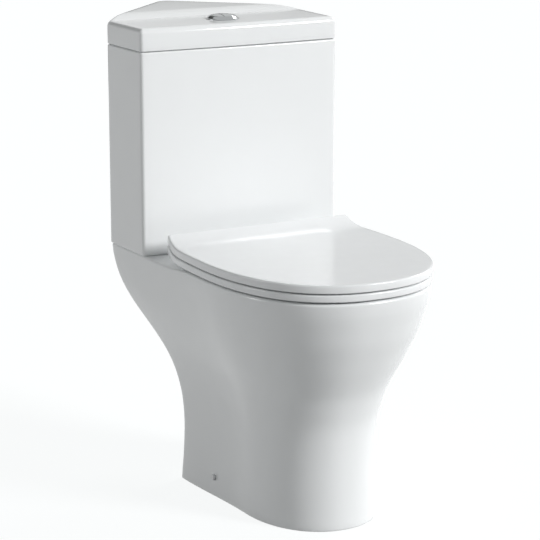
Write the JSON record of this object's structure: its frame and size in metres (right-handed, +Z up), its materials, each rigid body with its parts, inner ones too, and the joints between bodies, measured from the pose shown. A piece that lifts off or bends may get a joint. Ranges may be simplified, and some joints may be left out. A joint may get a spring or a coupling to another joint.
{
  "type": "corner toilet",
  "caption": "Close-coupled corner toilet: five-sided cistern, flared pedestal pan, slim soft-close seat and dual flush button.",
  "frame": {"origin": "on the floor, midway between the seat's sides and midway between the seat's tip and the rounded edge that faces the room's corner", "axes": "+Z up; -Y towards the tip of the seat, +Y into the room's corner; +X to the right for someone facing the toilet; the part is symmetric across the plane x = 0 but for the valves inside the cistern"},
  "size_m": [0.3726, 0.7592, 0.7828],
  "materials": {
    "ceramic": "glossy white vitreous china glaze",
    "seat": "glossy white moulded plastic",
    "buffer": "soft translucent grey",
    "chrome": "polished",
    "steel": "plain stainless",
    "dark_plastic": "dark moulded plastic",
    "black_rubber": "matt black rubber",
    "red_rubber": "silicone seal",
    "white_plastic": "plain moulded plastic",
    "blue_plastic": "plain moulded plastic"
  },
  "bodies": {
    "pan_and_cistern": {"pan": "ceramic", "cistern": "ceramic", "hinge_posts": "chrome", "hinge_pins": "steel", "seat_bolts": "steel", "seat_bolt_washers": "black_rubber", "seat_bolt_nuts": "white_plastic", "coupling_bolts": "steel", "coupling_washers": "black_rubber", "coupling_plates": "steel", "coupling_nuts": "white_plastic", "doughnut_washer": "black_rubber", "flush_valve_base": "white_plastic", "flush_valve_washer": "black_rubber", "flush_valve_nut": "white_plastic", "flush_valve_tower": "white_plastic", "overflow_pipe": "white_plastic", "fill_valve_body": "white_plastic", "fill_valve_cap": "blue_plastic", "fill_valve_washer": "black_rubber", "fill_valve_nut": "white_plastic", "float_pin": "steel", "floor_brackets": "white_plastic", "bracket_screws": "steel", "fixing_caps": "white_plastic"},
    "ring": {"seat_ring": "seat", "ring_buffers": "buffer", "ring_dampers": "dark_plastic"},
    "lid_of_seat": {"seat_lid": "seat", "lid_buffers": "buffer", "lid_dampers": "dark_plastic"},
    "lid_of_cistern": {"cistern_lid": "ceramic", "button_bezel": "chrome", "button_nut": "white_plastic"},
    "full_button": {"full_flush_button": "chrome", "full_flush_rod": "white_plastic"},
    "half_button": {"half_flush_button": "chrome", "half_flush_rod": "white_plastic"},
    "lifter": {"flush_valve_lifter": "blue_plastic", "flush_valve_seal": "red_rubber"},
    "float": {"float_arm": "white_plastic", "float_cup": "blue_plastic"}
  },
  "joints": [
    {"name": "ring_hinge", "type": "hinge", "parent": "pan_and_cistern", "child": "ring", "pos_m": [0, 0.01659, 0.407], "axis": [-1, 0, 0], "range_deg": [0, 94]},
    {"name": "lid_hinge", "type": "hinge", "parent": "ring", "child": "lid_of_seat", "pos_m": [0, 0.01659, 0.407], "axis": [1, 0, 0], "range_deg": [-94, 0]},
    {"name": "cistern_lid_lift", "type": "slide", "parent": "pan_and_cistern", "child": "lid_of_cistern", "axis": [0, 0, 1], "range_m": [0, 0.1]},
    {"name": "full_flush_press", "type": "slide", "parent": "lid_of_cistern", "child": "full_button", "axis": [0, 0, -1], "range_m": [0, 0.006], "stiffness_N_per_m": 600, "springref_m": -0.002},
    {"name": "half_flush_press", "type": "slide", "parent": "lid_of_cistern", "child": "half_button", "axis": [0, 0, -1], "range_m": [0, 0.006], "stiffness_N_per_m": 600, "springref_m": -0.002},
    {"name": "seal_lift", "type": "slide", "parent": "pan_and_cistern", "child": "lifter", "axis": [0, 0, 1], "range_m": [0, 0.015]},
    {"name": "float_swing", "type": "hinge", "parent": "pan_and_cistern", "child": "float", "pos_m": [0.122, 0.15859, 0.66], "axis": [1, 0, 0], "range_deg": [0, 20]}
  ],
  "couplings": [
    {"joint": "seal_lift", "follows": "full_flush_press", "ratio": 2.5}
  ]
}
